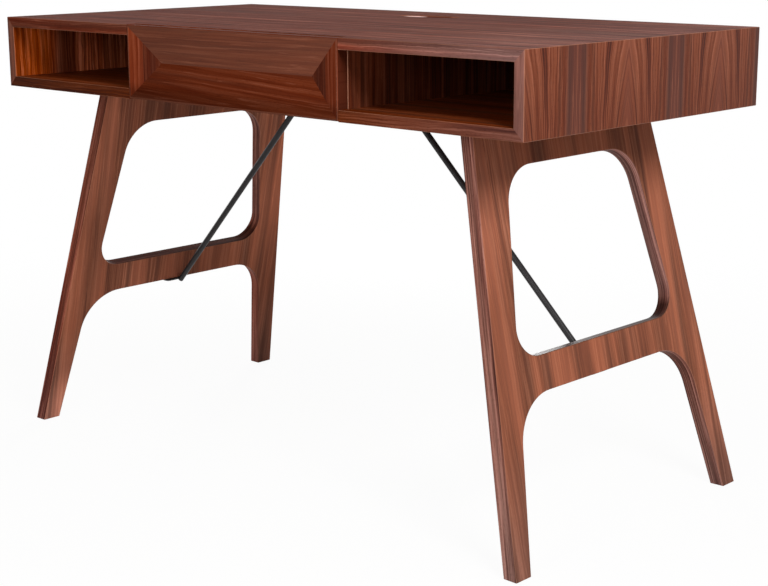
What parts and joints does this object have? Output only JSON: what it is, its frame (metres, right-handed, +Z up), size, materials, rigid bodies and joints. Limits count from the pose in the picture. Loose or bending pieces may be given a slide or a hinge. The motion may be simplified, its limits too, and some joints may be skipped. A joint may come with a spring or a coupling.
{
  "type": "writing desk",
  "caption": "Writing desk with a shallow mitred case, open cubbies either side of a faceted sliding drawer, splayed leg frames with arched cut-outs and slim diagonal tie rods.",
  "frame": {"origin": "on the floor under the middle of the case", "axes": "+X along the desk to the right as seen from the front, -Y towards the sitter, +Z up"},
  "size_m": [1.2, 0.6009, 0.765],
  "materials": {
    "case_veneer": "satin lacquered red-brown veneer with dark streaks",
    "frame_veneer": "satin lacquered red-brown veneer, upright grain",
    "front_veneer": "satin lacquered red-brown veneer, grain along each facet",
    "drawer_box_wood": "clear lacquered pale plywood",
    "joinery_wood": "bare beech",
    "black_steel": "satin black powder coat",
    "black_screws": "black oxide",
    "zinc_steel": "bright zinc plate",
    "nylon": "natural nylon",
    "bumper_rubber": "soft grey rubber"
  },
  "bodies": {
    "desk": {"back_panel": "case_veneer", "back_panel_screws": "zinc_steel", "bottom_panel": "case_veneer", "case_rail_left": "zinc_steel", "case_rail_right": "zinc_steel", "case_rail_screws": "zinc_steel", "case_roller_pin_left": "zinc_steel", "case_roller_pin_right": "zinc_steel", "corner_spline_bottom_left": "joinery_wood", "corner_spline_bottom_right": "joinery_wood", "corner_spline_top_left": "joinery_wood", "corner_spline_top_right": "joinery_wood", "divider_dowels": "joinery_wood", "divider_left": "case_veneer", "divider_right": "case_veneer", "floor_glide_left_front": "nylon", "floor_glide_left_rear": "nylon", "floor_glide_right_front": "nylon", "floor_glide_right_rear": "nylon", "frame_bracket_left_front": "black_steel", "frame_bracket_left_rear": "black_steel", "frame_bracket_right_front": "black_steel", "frame_bracket_right_rear": "black_steel", "frame_bracket_screws": "black_screws", "leg_frame_left": "frame_veneer", "leg_frame_right": "frame_veneer", "side_panel_left": "case_veneer", "side_panel_right": "case_veneer", "tie_rod_foot_screws": "black_screws", "tie_rod_left": "black_steel", "tie_rod_right": "black_steel", "tie_rod_top_screws": "black_screws", "top_panel": "case_veneer"},
    "drawer": {"drawer_back": "drawer_box_wood", "drawer_bottom": "drawer_box_wood", "drawer_bumpers": "bumper_rubber", "drawer_front": "front_veneer", "drawer_front_screws": "zinc_steel", "drawer_inner_front": "drawer_box_wood", "drawer_rail_left": "zinc_steel", "drawer_rail_right": "zinc_steel", "drawer_rail_screws": "zinc_steel", "drawer_roller_pin_left": "zinc_steel", "drawer_roller_pin_right": "zinc_steel", "drawer_side_left": "drawer_box_wood", "drawer_side_right": "drawer_box_wood"},
    "case_roller_left": {"case_roller_left": "nylon"},
    "case_roller_right": {"case_roller_right": "nylon"},
    "drawer_roller_left": {"drawer_roller_left": "nylon"},
    "drawer_roller_right": {"drawer_roller_right": "nylon"}
  },
  "joints": [
    {"name": "drawer_slide", "type": "slide", "parent": "desk", "child": "drawer", "axis": [0, -1, 0], "range_m": [0, 0.3]},
    {"name": "case_roller_left_spin", "type": "hinge", "parent": "desk", "child": "case_roller_left", "pos_m": [-0.2255, -0.262, 0.6744], "axis": [1, 0, 0], "range_deg": [-5, 1919.9]},
    {"name": "case_roller_right_spin", "type": "hinge", "parent": "desk", "child": "case_roller_right", "pos_m": [0.2255, -0.262, 0.6744], "axis": [1, 0, 0], "range_deg": [-5, 1919.9]},
    {"name": "drawer_roller_left_spin", "type": "hinge", "parent": "drawer", "child": "drawer_roller_left", "pos_m": [-0.2255, 0.103, 0.6744], "axis": [1, 0, 0], "range_deg": [-5, 1572.6]},
    {"name": "drawer_roller_right_spin", "type": "hinge", "parent": "drawer", "child": "drawer_roller_right", "pos_m": [0.2255, 0.103, 0.6744], "axis": [1, 0, 0], "range_deg": [-5, 1572.6]}
  ],
  "couplings": [
    {"joint": "case_roller_left_spin", "follows": "drawer_slide", "rad_per_m": 111.11},
    {"joint": "case_roller_right_spin", "follows": "drawer_slide", "rad_per_m": 111.11},
    {"joint": "drawer_roller_left_spin", "follows": "drawer_slide", "rad_per_m": 90.909},
    {"joint": "drawer_roller_right_spin", "follows": "drawer_slide", "rad_per_m": 90.909}
  ]
}
